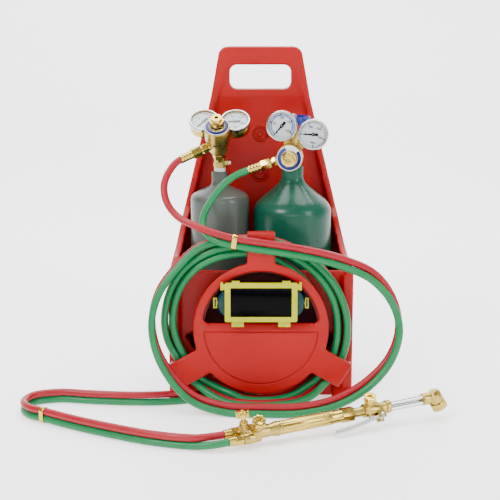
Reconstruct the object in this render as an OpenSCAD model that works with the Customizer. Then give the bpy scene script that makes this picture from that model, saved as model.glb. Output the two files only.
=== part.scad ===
// Portable oxy-acetylene torch kit in a hand-carried moulded tote.
// +X is to the right of the front, +Y towards the back, +Z up.
// The origin is the centre of the tote's base, on the ground.

/* [Tote] */
// Overall height of the tote, to the top of the grip
tote_h = 577; // [560:1:600]
// Width of the tote's base
tote_w = 308; // [300:1:320]
// Y of the front of the corner pillars
front_y = -87.5; // [-88:0.5:-86]
// Y of the tote's flat back
back_y = 100; // [98:1:110]
// Thickness of the side walls and of the rim round the back panel
rim_t = 12; // [9:1:14]
// Thickness of the back web, the front wall and the floor
web_t = 8; // [6:1:9]
// Height of the front wall and of the corner pillars
pillar_h = 216; // [205:1:220]
// Width of the hand slot
slot_w = 106; // [95:1:110]
// Height of the hand slot
slot_h = 42; // [36:1:44]
// Thickness of the grip bar above the hand slot
grip_t = 31; // [28:1:34]

/* [Hose reel] */
// Height of the reel's centre
hub_z = 128; // [126:1:130]
// Radius of the round retainer plate
plate_r = 112; // [110:1:114]
// Radius of the goggle window in the retainer plate
window_r = 97; // [94:1:98]
// Height of the window's flat sill
sill_z = 138; // [134:1:140]
// Width of the three retaining arms
arm_w = 46; // [40:1:50]
// Distance from the reel's centre to the end of an arm
arm_r = 162; // [158:1:164]
// Outer radius of the cup that the hose winds round
cup_r = 96; // [92:1:97]

/* [Cylinders] */
// Diameter of the oxygen cylinder
oxygen_d = 133.4; // [128:0.1:134]
// Height of the oxygen cylinder's neck above the ground
oxygen_top = 380; // [376:1:384]
// Diameter of the acetylene cylinder
acetylene_d = 100; // [96:0.5:101]
// Height of the acetylene cylinder's neck above the ground
acetylene_top = 370; // [368:1:371]
// Wall thickness of both cylinders
cyl_wall = 4; // [3:0.5:5]
// Diameter of the oxygen handwheel
wheel_d = 60; // [54:1:62]

/* [Regulators] */
// Radius of a regulator bonnet
bonnet_r = 21.5; // [20:0.5:22]
// Radius of a regulator body
body_r = 17; // [16:0.5:18]
// Radius of a gauge case
gauge_r = 25; // [23:0.5:25.5]
// Depth of a gauge case
gauge_depth = 19; // [16:0.5:19]
// Distance from the regulator's axis to a gauge's centre
gauge_reach = 51.5; // [51:0.5:53]
// Half the angle between the two gauges
gauge_spread = 31; // [30.5:0.5:34]
// Angle of the hose outlet round the regulator's axis
outlet_turn = 215; // [212:1:218]

/* [Hoses] */
// Outside diameter of each hose
hose_d = 12; // [11:0.5:12]
// Distance between the two hoses' centres where they are joined
hose_pitch = 12.2; // [12.1:0.1:12.4]

/* [Torch] */
// Radius of the torch handle
handle_r = 11; // [10:0.5:12]
// Radius of the torch's valve knobs
knob_r = 10.5; // [9:0.5:11]
// Travel of the cutting lever
lever_travel = 8; // [5:1:9]

/* [Goggles] */
// Width of the yellow lift-up frame
lift_w = 118; // [115:1:120]
// Height of the yellow lift-up frame
lift_h = 65; // [63:1:66]
// Width of the lens opening
lens_w = 99.5; // [97:0.5:101]
// Height of the lens opening
lens_h = 48.5; // [46:0.5:49]
// Overall width of the goggle cup
cup_w = 143; // [138:1:143]

/* [Hidden] */

eps = 0.02;
fit = 0.05;
$fn = 64;

half_w = tote_w / 2;
web_y = back_y - web_t - 8;
wall_y = -80;
slot_z = tote_h - grip_t - slot_h;
cyl_y = 11;
oxygen_x = 54.6;
acetylene_x = -69.5;
pad_z = web_t + 6;
oxygen_r = oxygen_d / 2;
acetylene_r = acetylene_d / 2;
hose_r = hose_d / 2;

// Regulator stack along its own axis, zero at the label and negative towards the cylinder valve
bonnet_back = -27;
body_top = -28;
body_back = -56;
gauge_face = -26;
gauge_mid = gauge_face - gauge_depth / 2 - 0.5;
outlet_axis = -36;
oxygen_reach = 101;
acetylene_reach = 84;
oxygen_outlet_z = 406;
acetylene_outlet_z = 385;
acetylene_tilt = 53;

// Joined hoses from the first clip, over the top arm, round the outer loop and into the reel.
// Each point is x, y, z and the angle from the oxygen hose to the acetylene hose above +Y.
LOOP = [[-46, -129.5, 276, 90], [-20, -131.8, 272, 90], [12, -132, 267.5, 90], [70, -133, 258, 88],
  [130, -139, 244, 75],
  [182, -148, 221, 57], [212, -157, 183, 35], [222, -163, 142, 22], [210, -170, 96, 30],
  [176, -179, 56, 44], [125, -187, 26, 50], [70, -190, 12.6, 48], [0, -190.5, 11, 46],
  [-62, -184, 12, 45], [-112, -171, 26, 42], [-150, -156, 62, 34], [-172, -145, 104, 25],
  [-178, -136, 146, 15], [-167, -127, 190, 20], [-138, -116, 230, 15], [-100, -104, 262, 3],
  [-62, -100, 272, 0]];
// Joined hoses from the reel, along the ground and back to the torch
RUN = [[-45, -94, 6.2, 0], [-72, -94, 6.4, 0], [-100, -103, 7, 5], [-117, -113, 8.4, 20],
  [-134, -122, 10.3, 42], [-152, -128, 11.7, 63], [-172, -132, 12.2, 82], [-225, -132, 12.2, 90], [-285, -125, 12.2, 90], [-340, -118, 12.2, 90],
  [-376, -134, 12.2, 90], [-386, -166, 12.2, 90], [-371, -198, 12.6, 90], [-346, -217, 13.6, 90],
  [-290, -252, 12.2, 90], [-225, -290, 12.2, 90], [-165, -320, 12.5, 90], [-118, -335, 12.7, 90]];
// Each hose on its own, from its regulator to the first clip
OXYGEN_LEAD = [[-13, -48.3, 383.4], [-22, -47.6, 380.1], [-44, -51, 371], [-66, -62, 354],
  [-83, -74, 332], [-94, -87, 312], [-95, -101, 295], [-85, -115, 282.5], [-68, -125, 274.5]];
ACETYLENE_LEAD = [[-127, -44.7, 400.6], [-135.5, -48.8, 397], [-151, -62, 381], [-159, -77, 359],
  [-155, -89, 336], [-138, -101, 314], [-110, -114, 300.5], [-78, -123.5, 290]];
// Each hose on its own, into the torch
OXYGEN_TAIL = [[-95.5, -341.8, 8], [-72.5, -345.5, 11.2], [-54.3, -343.4, 13.6], [-46, -340.2, 14.2]];
ACETYLENE_TAIL = [[-98, -337, 18.6], [-78, -332.3, 18.9], [-61.4, -325.7, 19], [-53.4, -322.3, 19.3]];

CLIP_1 = [-43, -129.8, 275.6];
CLIP_2 = [-346, -217, 13.6];

torch_at = [-54, -333, 16.5];
torch_heading = 22.4;
torch_pitch = 3.1;
torch_roll = 15;
cutting_roll = 22;
lever_roll = -51;
lever_reach = 84;
lever_drop = asin(lever_travel / lever_reach);
knob_tilt = 26;
inlet_y = 10;
block_x = 24;
knob_x = [31, 46];
handle_x = 84;
handle_end = 172;
coupling_end = 212;
cutting_knob_x = 239;
tube_x = 277;
tube_end = 340;
head_x = 360;
pivot_x = 256;
pivot_z = -16.5;
plunger_x = 241;

goggle_z = 177.5;
goggle_y = -141;
hinge_y = 26;
hinge_z = -6.3;
strap_y = -5;
strap_x = 75;

// ---------------------------------------------------------------- helpers

function unit(v) = v / norm(v);
// Points of a route with one more, on a smooth curve, halfway between each two
function halfway(p, i) = (9 * (p[i] + p[i + 1]) - p[max(i - 1, 0)] - p[min(i + 2, len(p) - 1)]) / 16;
function smooth(p) = [for (i = [0:len(p) - 1]) each (i < len(p) - 1 ? [p[i], halfway(p, i)] : [p[i]])];
function path_of(q) = [for (a = q) [a[0], a[1], a[2]]];
function tangent(p, i) = unit(p[min(i + 1, len(p) - 1)] - p[max(i - 1, 0)]);
function pair_side(t, turn) =
  let (d = [0, cos(turn), sin(turn)])
  unit(d - (d * t) * t);
// One hose of the joined pair: side is -1 for oxygen and 1 for acetylene
function strand(q, side) =
  let (p = path_of(q))
  [for (i = [0:len(q) - 1]) p[i] + side * hose_pitch / 2 * pair_side(tangent(p, i), q[i][3])];
function arc(c, r, a0, a1, n) =
  [for (i = [0:n]) c + r * [cos(a0 + (a1 - a0) * i / n), sin(a0 + (a1 - a0) * i / n)]];

module swept_tube(p, r, sides, ref) {
  m = len(p);
  points = [for (i = [0:m - 1])
    let (t = tangent(p, i), u = unit(cross(t, ref)), v = cross(t, u))
    for (j = [0:sides - 1]) p[i] + r * (cos(360 * j / sides) * u + sin(360 * j / sides) * v)];
  walls = [for (i = [0:m - 2]) for (j = [0:sides - 1])
    let (a = i * sides + j, b = i * sides + (j + 1) % sides)
    each [[a, b + sides, b], [a, a + sides, b + sides]]];
  caps = [[for (j = [0:sides - 1]) j], [for (j = [sides - 1:-1:0]) (m - 1) * sides + j]];
  polyhedron(points = points, faces = concat(walls, caps));
}

// Compression spring along +Z
module coil_spring(r, wire_r, h, turns) {
  steps = turns * 10;
  swept_tube([for (i = [0:steps]) [r * cos(36 * i), r * sin(36 * i), h * i / steps]], wire_r, 6, [0, 0, 1]);
}

module hexagon(across, h) cylinder(h = h, r = across / 2 / cos(30), $fn = 6);
module pipe(r, ri, h) difference() {
  cylinder(h = h, r = r);
  translate([0, 0, -1]) cylinder(h = h + 2, r = ri);
}
// Turns a solid of revolution along +Z so that it lies along +X
module along_x() rotate([0, 90, 0]) children();
// A flat shape drawn in X and Z, extruded from y0 to y1
module front_plate(y0, y1) translate([0, y1, 0]) rotate([90, 0, 0]) linear_extrude(y1 - y0) children();
// A flat shape drawn in Y and Z, extruded over the full width w
module side_plate(w) rotate([90, 0, 90]) linear_extrude(w, center = true) children();
module rounded_rect(w, h, r) {
  square([w - 2 * r, h], center = true);
  square([w, h - 2 * r], center = true);
  for (x = [-1, 1])
    for (y = [-1, 1])
      translate([x * (w / 2 - r), y * (h / 2 - r)]) circle(r);
}
module pair_outline(r) {
  square([2 * r, hose_pitch], center = true);
  for (y = [-1, 1])
    translate([0, y * hose_pitch / 2]) circle(r);
}

module at_oxygen_outlet() translate([oxygen_x, cyl_y, oxygen_outlet_z]) rotate([90, 0, -5]) children();
module at_acetylene_outlet() translate([acetylene_x, cyl_y, acetylene_outlet_z])
  rotate([90 - acetylene_tilt, 0, -3.5]) children();
module at_oxygen_regulator() at_oxygen_outlet() translate([0, 0, oxygen_reach]) rotate([0, 0, -15]) children();
module at_acetylene_regulator() at_acetylene_outlet() translate([0, 0, acetylene_reach]) children();
module at_both_regulators() {
  at_oxygen_regulator() children();
  at_acetylene_regulator() children();
}
// side is -1 for the delivery gauge on the left and 1 for the supply gauge on the right
module at_gauge(side) rotate([0, 0, -side * gauge_spread]) translate([0, gauge_reach, gauge_face])
  rotate([0, 0, side * gauge_spread]) children();
// Each gauge stands upright on the acetylene regulator and turned with the oxygen regulator
module at_gauges() {
  at_both_regulators() {
    at_gauge(-1) children();
    at_gauge(1) children();
  }
}
module at_torch(roll) translate(torch_at) rotate([0, -torch_pitch, torch_heading])
  rotate([roll, 0, 0]) children();
module at_torch_inlets() at_torch(torch_roll)
  for (y = [-1, 1])
    translate([0, y * inlet_y, 0]) children();
// side is -1 for the valve knob that faces the front and 1 for the one behind it
module at_torch_knob(side) at_torch(torch_roll)
  translate([side > 0 ? knob_x[0] : knob_x[1], 0, 0]) rotate([-side * knob_tilt, 0, 0]) children();
module at_outlets() at_both_regulators() translate([0, 0, outlet_axis]) rotate([0, 90, outlet_turn]) children();

// ---------------------------------------------------------------- tote

// Half outline of the tote seen from the front, pulled in by inset, with rounded top corners
module tote_outline(inset, top) {
  corner_r = 16;
  corner = [73 - inset - corner_r, top - corner_r];
  half = concat([[half_w - inset, 0], [half_w - inset, pillar_h - 6], [145 - inset, 243],
    [135 - inset, 290], [113 - inset, 380], [86 - inset, 490]], arc(corner, corner_r, 5, 90, 6));
  polygon(concat(half, [for (i = [len(half) - 1:-1:0]) [-half[i][0], half[i][1]]]));
}

// Side view of the tote: tall back, low front and a hollow curve between them
module tote_side() {
  polygon(concat([[back_y, 0], [back_y, tote_h], [back_y - 28, tote_h], [back_y - 32, 480], [back_y - 40, 300]],
    arc([front_y + 38, 338], 104, -30, -90, 8), [[front_y, pillar_h], [front_y, 0]]));
}

// Moulded ring on the back panel
module panel_ring(z) translate([0, web_y, z]) rotate([90, 0, 0]) pipe(13, 9.5, 2);

// Slot in the front wall behind a lower arm
module arm_slot(turn) translate([0, 0, hub_z]) rotate([0, -turn, 0])
  translate([112, wall_y + web_t / 2, 0]) cube([18, web_t * 3, 84], center = true);

module tote_shell() {
  color("red") difference() {
    union() {
      // Rim and side walls
      intersection() {
        difference() {
          front_plate(front_y - 1, back_y) tote_outline(0, tote_h);
          front_plate(front_y - 2, back_y + 1) translate([0, -1]) tote_outline(rim_t, slot_z + slot_h + 1);
        }
        side_plate(tote_w + 2) tote_side();
      }
      // Back web
      front_plate(web_y, web_y + web_t) tote_outline(1, tote_h - 2);
      // Thick zone round the hand slot, running out into the web below it
      intersection() {
        front_plate(back_y - 40, back_y) tote_outline(1, tote_h - 2);
        side_plate(tote_w) polygon([[back_y, 452], [web_y, 430], [back_y - 28, 492],
          [back_y - 28, tote_h], [back_y, tote_h]]);
      }
      // Floor
      translate([-half_w + 1, wall_y + 1, 0]) cube([tote_w - 2, back_y - wall_y - 2, web_t]);
      // Front wall
      translate([-half_w + 1, wall_y, 0]) cube([tote_w - 2, web_t, pillar_h + 1]);
      // Corner pillars
      for (x = [-1, 1])
        translate([x * (half_w - 9.5) - 8.5, front_y, 0]) cube([17, web_t + 16, pillar_h - 6]);
      // Sloping toes in front of the pillars
      for (x = [-1, 1])
        translate([x * (half_w - 17), 0, 0]) side_plate(34) polygon([[front_y + 2, 0], [front_y - 12, 0],
          [front_y - 12, 4], [front_y, 18], [front_y + 2, 18]]);
      // Rings that the cylinders stand in
      translate([oxygen_x, cyl_y, web_t - 1]) pipe(oxygen_r + 4.5, oxygen_r + 0.8, 20);
      translate([acetylene_x, cyl_y, web_t - 1]) pipe(acetylene_r + 4.5, acetylene_r + 0.8, 20);
      panel_ring(425);
      panel_ring(358);
    }
    // Hand slot
    front_plate(back_y - 50, back_y + 10) translate([0, slot_z + slot_h / 2]) rounded_rect(slot_w, slot_h, 12);
    // Hole for the reel's cup
    translate([0, wall_y + web_t + 1, hub_z]) rotate([90, 0, 0]) cylinder(h = web_t + 2, r = cup_r + 1);
    arm_slot(210);
    arm_slot(330);
    // Each cylinder's own space in the other's ring
    translate([oxygen_x, cyl_y, web_t]) cylinder(h = 30, r = oxygen_r + 0.8);
    translate([acetylene_x, cyl_y, web_t]) cylinder(h = 30, r = acetylene_r + 0.8);
  }
}

// Turns a shape drawn round the reel's axis so that the axis runs along -Y, zero at the wall
module at_reel(y) translate([0, y, hub_z]) rotate([90, 0, 0]) children();

module storage_cup() {
  color("firebrick") at_reel(0) difference() {
    union() {
      // Cup
      translate([0, 0, 62]) cylinder(h = 55, r = cup_r, $fn = 96);
      // Front flange behind the retainer
      translate([0, 0, 113]) cylinder(h = 4, r = plate_r - 5, $fn = 96);
      // Rear flange on the front wall
      translate([0, 0, -wall_y]) cylinder(h = 4, r = cup_r + 9, $fn = 96);
    }
    translate([0, 0, 66]) cylinder(h = 60, r = cup_r - 3, $fn = 96);
    for (a = [45:90:315])
      rotate([0, 0, a]) translate([cup_r + 5, 0, -wall_y - 1]) cylinder(h = 10, r = 1.6);
  }
}

module retainer_plate() {
  circle(plate_r, $fn = 96);
  for (a = [90, 210, 330])
    rotate(a) translate([0, -arm_w / 2]) square([arm_r, arm_w]);
}

module window_outline(r) {
  corner_r = 9;
  sill = sill_z - hub_z;
  intersection() {
    circle(r, $fn = 96);
    translate([-r, sill + corner_r]) square([2 * r, 2 * r]);
  }
  reach = sqrt((r - corner_r) * (r - corner_r) - (sill + corner_r) * (sill + corner_r));
  translate([-reach, sill]) square([2 * reach, corner_r + 1]);
  for (x = [-1, 1])
    translate([x * reach, sill + corner_r]) circle(corner_r);
}

module hose_retainer() {
  color("red") difference() {
    union() {
      at_reel(0) translate([0, 0, 117]) linear_extrude(8) retainer_plate();
      // Lips that turn back at the ends of the arms
      for (a = [90, 210, 330])
        at_reel(0) rotate([0, 0, a]) translate([arm_r - 8, -arm_w / 2, 106]) cube([8, arm_w, 12]);
    }
    // Goggle window and its sloping sill
    at_reel(0) translate([0, 0, 116]) linear_extrude(10) window_outline(window_r);
    translate([10 - window_r, -125, sill_z - 13]) rotate([-22, 0, 0]) translate([0, -8, 0])
      cube([2 * window_r - 20, 8, 40]);
    // Shallow groove round the lower panel
    at_reel(0) translate([0, 0, 124]) linear_extrude(2) difference() {
      intersection() {
        circle(95, $fn = 96);
        translate([-100, -100]) square([200, 100 + sill_z - hub_z - 14]);
      }
      intersection() {
        circle(93.5, $fn = 96);
        translate([-100, -100]) square([200, 100 + sill_z - hub_z - 15.5]);
      }
    }
    // Hollow back of the lower panel
    at_reel(0) translate([0, 0, 116]) linear_extrude(5) intersection() {
      circle(88, $fn = 96);
      translate([-100, -100]) square([200, 100 + sill_z - hub_z - 24]);
    }
  }
}

module reel_screws() {
  color("silver") at_reel(0)
    for (a = [45:90:315])
      rotate([0, 0, a]) translate([cup_r + 5, 0, -wall_y - web_t - 2]) {
        cylinder(h = 2, r = 3.4);
        cylinder(h = 13, r = 1.55);
      }
}

module cylinder_pads() {
  color("dimgray") {
    translate([oxygen_x, cyl_y, web_t]) pipe(oxygen_r - 6, 25, pad_z - web_t);
    translate([acetylene_x, cyl_y, web_t]) pipe(acetylene_r - 5, 20, pad_z - web_t);
  }
}

// ---------------------------------------------------------------- oxygen cylinder and valve

// Revolved wall: outer points go up, inner points come back down
module revolved(outer, inner) rotate_extrude($fn = 96) polygon(concat(outer, inner));

module oxygen_cylinder() {
  neck_r = 18.7;
  bore_r = 10;
  // Radius and height of the shoulder's outside
  shoulder = [[oxygen_r, 298], [66, 305], [64, 311.5], [60.8, 316.5], [56.4, 321.5], [48, 328.5],
    [36.5, 338], [26, 347.5], [21, 353.5], [neck_r, 359]];
  outer = concat([[0, pad_z], [oxygen_r - 12, pad_z]],
    arc([oxygen_r - 12, pad_z + 12], 12, -75, 0, 5),
    shoulder, [[neck_r, oxygen_top - 2], [neck_r - 2, oxygen_top]]);
  inner = concat([[bore_r, oxygen_top], [bore_r, 356]],
    [for (i = [8:-1:0]) [shoulder[i][0] - cyl_wall, shoulder[i][1] - 3]],
    [[oxygen_r - cyl_wall, pad_z + 14], [oxygen_r - cyl_wall - 10, pad_z + cyl_wall + 1],
      [0, pad_z + cyl_wall + 1]]);
  color("seagreen") translate([oxygen_x, cyl_y, 0]) revolved(outer, inner);
}

module oxygen_cylinder_valve() {
  bonnet_z = 432;
  color("gold") difference() {
    union() {
      translate([oxygen_x, cyl_y, 0]) {
        // Tapered thread in the neck
        translate([0, 0, oxygen_top - 18]) cylinder(h = 20, r = 10 - fit);
        translate([0, 0, oxygen_top]) cylinder(h = 10, r = 15);
        translate([0, 0, oxygen_top + 8]) cylinder(h = bonnet_z - oxygen_top - 8, r = 12.5);
        translate([0, 0, bonnet_z - 1]) hexagon(23, 10);
        translate([0, 0, bonnet_z + 8]) cylinder(h = 4, r = 7);
      }
      at_oxygen_outlet() {
        cylinder(h = 17, r = 12);
        cylinder(h = 34, r = 10.5);
        // Safety plug at the back
        rotate([180, 0, 0]) cylinder(h = 16, r = 8);
        rotate([180, 0, 0]) translate([0, 0, 15]) hexagon(14, 5);
      }
    }
    translate([oxygen_x, cyl_y, bonnet_z - 8]) cylinder(h = 24, r = 4 + fit);
    at_oxygen_outlet() translate([0, 0, 20]) cylinder(h = 20, r = 5);
  }
}

module oxygen_handwheel() {
  wheel_z = 451;
  rim_r = wheel_d / 2 - 3.5;
  color("royalblue") translate([oxygen_x, cyl_y, 0]) difference() {
    union() {
      // Spindle
      translate([0, 0, 425]) cylinder(h = 38, r = 4);
      // Hub, dished web and lobed rim
      translate([0, 0, wheel_z]) cylinder(h = 12, r = 9);
      translate([0, 0, wheel_z + 4]) cylinder(h = 4, r = rim_r);
      translate([0, 0, wheel_z]) pipe(wheel_d / 2 - 1.5, rim_r - 4, 13);
      for (a = [0:45:315])
        rotate([0, 0, a]) translate([rim_r - 1, 0, wheel_z]) cylinder(h = 13, r = 4.5);
    }
    for (a = [0:90:270])
      rotate([0, 0, a + 22.5]) translate([15.5, 0, wheel_z]) cylinder(h = 20, r = 4.5);
  }
}

module handwheel_nut() {
  color("silver") translate([oxygen_x, cyl_y, 463]) {
    hexagon(11, 4);
    cylinder(h = 5.5, r = 3.4);
  }
}

// ---------------------------------------------------------------- acetylene cylinder and valve

module acetylene_cylinder() {
  neck_r = 14;
  bore_r = 8.5;
  // Radius and height of the shoulder's outside
  shoulder = [[acetylene_r, 319], [49.6, 324], [48.2, 328], [45, 331.5], [37, 336], [26, 341], [18.5, 345],
    [15, 348.5], [neck_r, 353]];
  outer = concat([[0, pad_z], [acetylene_r - 8, pad_z]], arc([acetylene_r - 8, pad_z + 8], 8, -75, 0, 5),
    shoulder, [[neck_r, acetylene_top]]);
  inner = concat([[bore_r, acetylene_top], [bore_r, 345]],
    [for (i = [6:-1:0]) [shoulder[i][0] - cyl_wall, shoulder[i][1] - 4]],
    [[acetylene_r - cyl_wall, pad_z + 10], [acetylene_r - cyl_wall - 8, pad_z + cyl_wall],
      [0, pad_z + cyl_wall]]);
  color("gray") translate([acetylene_x, cyl_y, 0]) revolved(outer, inner);
}

module acetylene_cylinder_valve() {
  color("gold") difference() {
    union() {
      translate([acetylene_x, cyl_y, 0]) {
        translate([0, 0, acetylene_top - 18]) cylinder(h = 25, r = 8.5 - fit);
        translate([0, 0, acetylene_top + 7]) cylinder(h = 15, r = 10);
        translate([0, 0, acetylene_top + 9]) hexagon(19, 5);
        // Packing gland of the spindle
        translate([0, 0, acetylene_outlet_z]) along_x() cylinder(h = 13, r = 5.5);
        translate([9, 0, acetylene_outlet_z]) along_x() hexagon(12, 5);
      }
      at_acetylene_outlet() cylinder(h = 24, r = 7.5);
    }
    at_acetylene_outlet() translate([0, 0, 12]) cylinder(h = 20, r = 3.5);
    translate([acetylene_x + 5, cyl_y, acetylene_outlet_z]) along_x() cylinder(h = 20, r = 2.5 + fit);
  }
}

module acetylene_valve_spindle() {
  color("silver") translate([acetylene_x + 6, cyl_y, acetylene_outlet_z]) {
    along_x() cylinder(h = 9, r = 2.5);
    along_x() translate([0, 0, 8.5]) rotate([0, 0, 45]) cylinder(h = 4, r = 3.6, $fn = 4);
  }
}

module thread_tape() {
  color("white") translate([acetylene_x, cyl_y, acetylene_top]) pipe(9.6, 8.5, 6.6);
}

// ---------------------------------------------------------------- regulators

module regulator_body() {
  rotate_extrude() polygon([[0, body_back - 3], [8.5, body_back - 3], [8.5, body_back], [body_r - 4, body_back],
    [body_r - 1, body_back + 4], [body_r, body_back + 8], [body_r, body_top - 6], [bonnet_r - 2, body_top - 4],
    [bonnet_r - 1, body_top], [14, body_top], [14, body_top - 9], [0, body_top - 9]]);
}
module regulator_bodies() {
  color("darkkhaki") at_both_regulators() regulator_body();
}

module regulator_bonnet() {
  rotate_extrude() polygon([[14, bonnet_back], [bonnet_r - 1, bonnet_back], [bonnet_r, bonnet_back + 2],
    [bonnet_r, -1], [bonnet_r - 1, 0], [13, 0], [11, 2.2], [6 + fit, 2.2], [6 + fit, -6], [14, -7]]);
}
module regulator_bonnets() {
  color("darkkhaki") at_both_regulators() regulator_bonnet();
}

// Brass key screw: a threaded shank, an eight-sided grip and a hex end with a centre hole
module adjusting_screw() difference() {
  union() {
    translate([0, 0, -11]) cylinder(h = 15, r = 6);
    translate([0, 0, 2.7]) cylinder(h = 12, r = 12.4, $fn = 8);
    translate([0, 0, 14.5]) hexagon(16.5, 6);
  }
  translate([0, 0, 12]) cylinder(h = 10, r = 3.4);
}
module oxygen_adjusting_screw() {
  color("gold") at_oxygen_regulator() adjusting_screw();
}
module acetylene_adjusting_screw() {
  color("gold") at_acetylene_regulator() adjusting_screw();
}

module regulator_labels() {
  color("white") at_both_regulators() pipe(bonnet_r - 1.2, 13.2, 0.5);
}

module regulator_springs() {
  color("silver") at_both_regulators() translate([0, 0, -24.4]) coil_spring(8.5, 1.2, 12, 4);
}

module regulator_diaphragms() {
  color("black") at_both_regulators() translate([0, 0, body_top]) cylinder(h = 1, r = bonnet_r - 2.5);
}

// Nut that draws a regulator's nipple onto its cylinder valve
module inlet_nuts() {
  color("gold") {
    at_oxygen_outlet() translate([0, 0, 18]) difference() {
      union() {
        hexagon(29, 17);
        cylinder(h = 21, r = 12.5);
      }
      translate([0, 0, -1]) cylinder(h = 18, r = 10.5 + fit);
      cylinder(h = 30, r = 8.6);
    }
    at_acetylene_outlet() translate([0, 0, 14]) difference() {
      hexagon(20, 10.8);
      translate([0, 0, -1]) cylinder(h = 20, r = 7.5 + fit);
    }
  }
}

module outlet_bushings() {
  color("gold") difference() {
    at_outlets() {
      translate([0, 0, body_r - 1]) cylinder(h = 22, r = 5);
      translate([0, 0, body_r + 1]) cylinder(h = 4, r = 7);
      translate([0, 0, body_r + 6]) hexagon(14, 8);
    }
    at_both_regulators() body_space();
  }
}

// Round outside of a regulator's body
module body_space() translate([0, 0, -60]) cylinder(h = 40, r = body_r);

module gauge_stems() {
  color("gold") difference() {
    at_both_regulators()
      for (side = [-1, 1])
        rotate([0, 0, -side * gauge_spread]) translate([-5, body_r - 2.5, gauge_mid - 5])
          cube([10, gauge_reach - gauge_r - body_r + 4, 10]);
    at_both_regulators() body_space();
    at_gauges() translate([0, 0, -gauge_depth - 0.5]) cylinder(h = gauge_depth, r = gauge_r - 0.6);
  }
}

module gauge_case() difference() {
  translate([0, 0, -gauge_depth - 0.5]) cylinder(h = gauge_depth, r = gauge_r - 0.6);
  translate([0, 0, -5]) cylinder(h = 10, r = gauge_r - 2);
}
module gauge_cases() {
  color("darkkhaki") at_gauges() gauge_case();
}

module gauge_bezels() {
  color("gainsboro") at_gauges() rotate_extrude() polygon([[gauge_r - 0.6, -5], [gauge_r + 0.5, -5],
    [gauge_r + 0.5, 0], [gauge_r - 0.5, 1], [gauge_r - 2.4, 1], [gauge_r - 2.4, -0.4], [gauge_r - 0.6, -0.4]]);
}

module gauge_dials() {
  color("white") at_gauges() translate([0, 0, -5]) {
    cylinder(h = 0.8, r = gauge_r - 2.1);
    cylinder(h = 2.6, r = 0.8);
  }
}

module gauge_lenses() {
  color("lightcyan") at_gauges() translate([0, 0, -1.6]) cylinder(h = 1.2, r = gauge_r - 2.1);
}

// Pointer that turns on the dial's post; its tip starts along angle a
module gauge_pointer(a) rotate([0, 0, a]) translate([0, 0, -3.6]) difference() {
  union() {
    cylinder(h = 0.8, r = 3);
    linear_extrude(0.8) polygon([[0, -1.6], [gauge_r - 6.5, -0.4], [gauge_r - 6.5, 0.4], [0, 1.6]]);
    linear_extrude(0.8) polygon([[0, -1.5], [-8.5, -2.4], [-8.5, 2.4], [0, 1.5]]);
  }
  translate([0, 0, -1]) cylinder(h = 3, r = 0.85);
}
module oxygen_delivery_pointer() {
  color("black") at_oxygen_regulator() at_gauge(-1) gauge_pointer(245);
}
module oxygen_supply_pointer() {
  color("black") at_oxygen_regulator() at_gauge(1) gauge_pointer(193);
}
module acetylene_delivery_pointer() {
  color("black") at_acetylene_regulator() at_gauge(-1) gauge_pointer(232);
}
module acetylene_supply_pointer() {
  color("black") at_acetylene_regulator() at_gauge(1) gauge_pointer(184);
}

// ---------------------------------------------------------------- hoses and their fittings

module hose_nuts() {
  color("gold") {
    at_outlets() translate([0, 0, 35]) difference() {
      union() {
        hexagon(16, 16);
        cylinder(h = 18, r = 7);
      }
      translate([0, 0, -1]) cylinder(h = 4.5, r = 5 + fit);
    }
    at_torch_inlets() translate([12, 0, 0]) along_x() {
      hexagon(15, 10.9);
      cylinder(h = 12, r = 6);
    }
  }
}

// Crimped sleeve with three grooves, open at the end that takes the hose
module ferrule(h) difference() {
  rotate_extrude() polygon(concat([[0, 0], [7.2, 0]],
    [for (i = [1:3]) each [[7.2, i * h / 4 - 1], [6.7, i * h / 4], [7.2, i * h / 4 + 1]]], [[7.2, h], [0, h]]));
  translate([0, 0, h - 7]) cylinder(h = 10, r = hose_r + 0.1);
}
module hose_ferrules() {
  color("gold") {
    at_outlets() translate([0, 0, 53]) ferrule(21);
    at_torch_inlets() translate([12, 0, 0]) rotate([0, -90, 0]) ferrule(12);
  }
}

module oxygen_hose() {
  color("mediumseagreen") {
    swept_tube(concat(smooth(OXYGEN_LEAD), strand(smooth(LOOP), -1)), hose_r, 8, [0, 1, 0]);
    swept_tube(concat(strand(smooth(RUN), -1), smooth(OXYGEN_TAIL)), hose_r, 8, [0, 0, 1]);
  }
}

module acetylene_hose() {
  color("crimson") {
    swept_tube(concat(smooth(ACETYLENE_LEAD), strand(smooth(LOOP), 1)), hose_r, 8, [0, 1, 0]);
    swept_tube(concat(strand(smooth(RUN), 1), smooth(ACETYLENE_TAIL)), hose_r, 8, [0, 0, 1]);
  }
}

// Outer shape of one hose's turns on the reel: a ring with a flat foot and a flat top
module coil_ring(y0, y1) front_plate(y0, y1) difference() {
  intersection() {
    translate([-9.5, 131]) circle(157, $fn = 96);
    translate([-200, 0.1]) square([400, 275]);
  }
  translate([0, hub_z]) circle(cup_r + 2, $fn = 96);
  // Room for the lip of the lower left arm
  translate([0, hub_z]) rotate(210) translate([arm_r - 8.5, -arm_w / 2 - 1]) square([20, arm_w + 2]);
}
module oxygen_hose_coil() {
  color("mediumseagreen") coil_ring(-112, -100.1);
}
module acetylene_hose_coil() {
  color("crimson") coil_ring(-99.9, -88.2);
}

// Band that holds the two hoses side by side; the hoses run along +Z
module hose_clip() translate([0, 0, -4]) linear_extrude(8) difference() {
  pair_outline(hose_r + 1.1);
  pair_outline(hose_r + 0.1);
}
module hose_clips() {
  color("gold") {
    translate(CLIP_1) rotate([0, 8.5, -5.5]) rotate([90, 0, 90]) hose_clip();
    translate(CLIP_2) rotate([0, 0, -34]) rotate([90, 0, 90]) hose_clip();
  }
}

// ---------------------------------------------------------------- torch

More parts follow.
